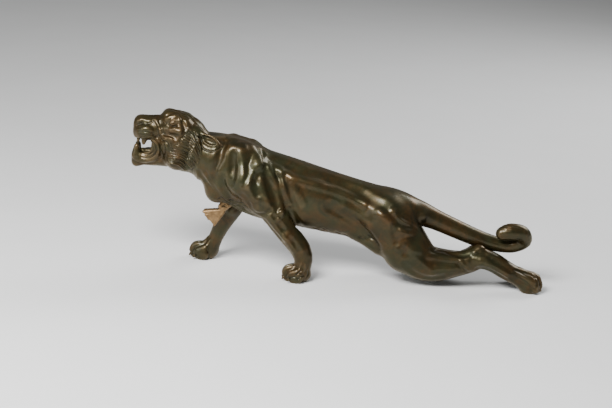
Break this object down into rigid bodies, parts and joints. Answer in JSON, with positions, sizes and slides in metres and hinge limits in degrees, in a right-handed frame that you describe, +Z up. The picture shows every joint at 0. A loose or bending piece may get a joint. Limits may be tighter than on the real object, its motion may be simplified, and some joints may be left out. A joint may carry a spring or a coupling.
{
  "type": "hood ornament",
  "caption": "Bronze car mascot of a roaring tiger in full stride, with flat drilled paws and a flared lug under the chest.",
  "frame": {"origin": "centre of the figure's outline, on the plane that the four paws stand on", "axes": "+X towards the tail, so the tiger faces -X; +Y towards its right flank; +Z up, square to the plane under the paws"},
  "size_m": [0.2511, 0.0454, 0.0937],
  "materials": {
    "patinated_bronze": "dark olive-brown patina, waxed satin",
    "pin_bronze": "filed flush and patinated with the castings",
    "raw_bronze": "bare, as filed",
    "brass": "turned"
  },
  "bodies": {
    "root": {"torso": "patinated_bronze", "head": "patinated_bronze", "lower_jaw": "patinated_bronze", "tongue": "patinated_bronze", "foreleg_left": "patinated_bronze", "foreleg_right": "patinated_bronze", "hindleg_left": "patinated_bronze", "hindleg_right": "patinated_bronze", "tail": "patinated_bronze", "belly_plug": "patinated_bronze", "chest_lug": "raw_bronze", "head_pin": "pin_bronze", "lower_jaw_pin": "pin_bronze", "foreleg_left_pin": "pin_bronze", "foreleg_right_pin": "pin_bronze", "hindleg_left_pin": "pin_bronze", "hindleg_right_pin": "pin_bronze", "tail_pin": "pin_bronze", "paw_bush_front_left": "brass", "paw_bush_front_right": "brass", "paw_bush_hind_left": "brass", "paw_bush_hind_right": "brass"}
  },
  "joints": []
}
